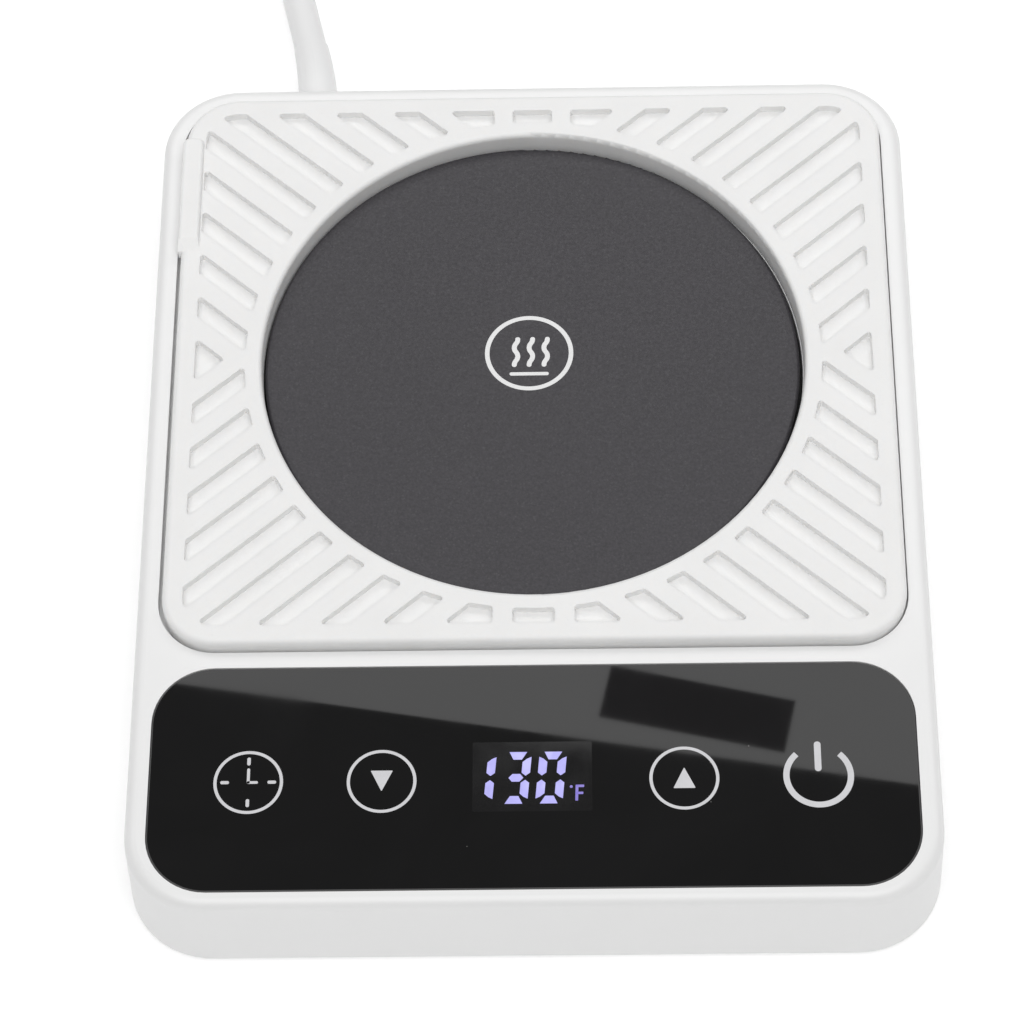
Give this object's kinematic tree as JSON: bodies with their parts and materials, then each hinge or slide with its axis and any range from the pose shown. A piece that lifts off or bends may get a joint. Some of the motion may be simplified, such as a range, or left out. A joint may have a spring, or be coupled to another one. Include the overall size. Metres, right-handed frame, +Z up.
{
  "type": "mug warmer",
  "caption": "Electric mug warmer: white rounded box, dark round heating plate, lift-off ribbed silicone mat, black glass touch panel in front, mains lead at the back.",
  "frame": {"origin": "the middle of the housing's outline, on the table under the feet", "axes": "+Z up; -Y towards the user, where the touch panel is; +X to the user's right; the lead leaves at +Y"},
  "size_m": [0.136, 0.2777, 0.0211],
  "materials": {
    "housing": "smooth white, satin to glossy",
    "cover": "fine matt white",
    "foot_rubber": "soft light grey",
    "screw_steel": "zinc plated",
    "panel_glass": "clear front, printed black on its back",
    "bond_tape": "thin foam tape",
    "circuit_board": "green solder mask",
    "display_case": "dark grey moulding",
    "spring_steel": "drawn wire",
    "black_plastic": "glass filled, dull",
    "green_plastic": "moulded",
    "fuse_metal": "nickel caps on a glass body",
    "capacitor_case": "yellow case",
    "capacitor_can": "plain can",
    "brass": "bright",
    "wire_cover": "blue insulation",
    "heat_sleeve": "woven glass sleeve",
    "cord_cover": "white flexible jacket",
    "tie_rubber": "soft white strap",
    "plate_coating": "dark grey heat-proof coating with a fine speckle",
    "heater_foil": "etched foil in film",
    "mica": "layered pad",
    "sheet_steel": "plain sheet",
    "silicone": "matt white silicone"
  },
  "bodies": {
    "housing": {"top_housing": "housing", "bottom_cover": "cover", "rubber_feet": "foot_rubber", "cover_screws": "screw_steel", "glass_panel": "panel_glass", "panel_bond": "bond_tape", "touch_board": "circuit_board", "touch_board_screws": "screw_steel", "display_module": "display_case", "key_springs": "spring_steel", "power_board": "circuit_board", "power_board_screws": "screw_steel", "board_link": "black_plastic", "terminal_block": "green_plastic", "fuse": "fuse_metal", "film_capacitor": "capacitor_case", "storage_capacitor": "capacitor_can", "heater_driver": "black_plastic", "plate_springs": "spring_steel", "switch_body": "black_plastic", "switch_tabs": "brass", "switch_wires": "wire_cover", "heater_wires": "heat_sleeve", "mains_wires": "wire_cover", "inner_lead": "cord_cover", "lead_clamp": "cover", "clamp_screws": "screw_steel", "strain_relief": "cord_cover", "cord_free": "cord_cover", "cord_coil": "cord_cover", "coil_tie": "tie_rubber", "plug_body": "cord_cover", "plug_blades": "brass"},
    "hot_plate": {"heating_plate": "plate_coating", "heater_film": "heater_foil", "insulation_pad": "mica", "back_plate": "sheet_steel", "heater_terminals": "brass", "plate_carrier": "black_plastic", "carrier_screws": "screw_steel", "thermal_cutoff": "sheet_steel", "temperature_sensor": "mica"},
    "plunger": {"switch_plunger": "black_plastic"},
    "mat": {"silicone_mat": "silicone"}
  },
  "joints": [
    {"name": "plate_sink", "type": "slide", "parent": "housing", "child": "hot_plate", "axis": [0, 0, 1], "range_m": [-0.0012, 0], "stiffness_N_per_m": 1000, "springref_m": 0.0015, "deforming": ["plate_springs", "heater_wires"]},
    {"name": "plunger_sink", "type": "slide", "parent": "housing", "child": "plunger", "axis": [0, 0, 1], "range_m": [-0.0012, 0]},
    {"name": "mat_lift", "type": "slide", "parent": "housing", "child": "mat", "axis": [0, 0, 1], "range_m": [0, 0.025]}
  ],
  "couplings": [
    {"joint": "plunger_sink", "follows": "plate_sink", "ratio": 1}
  ]
}
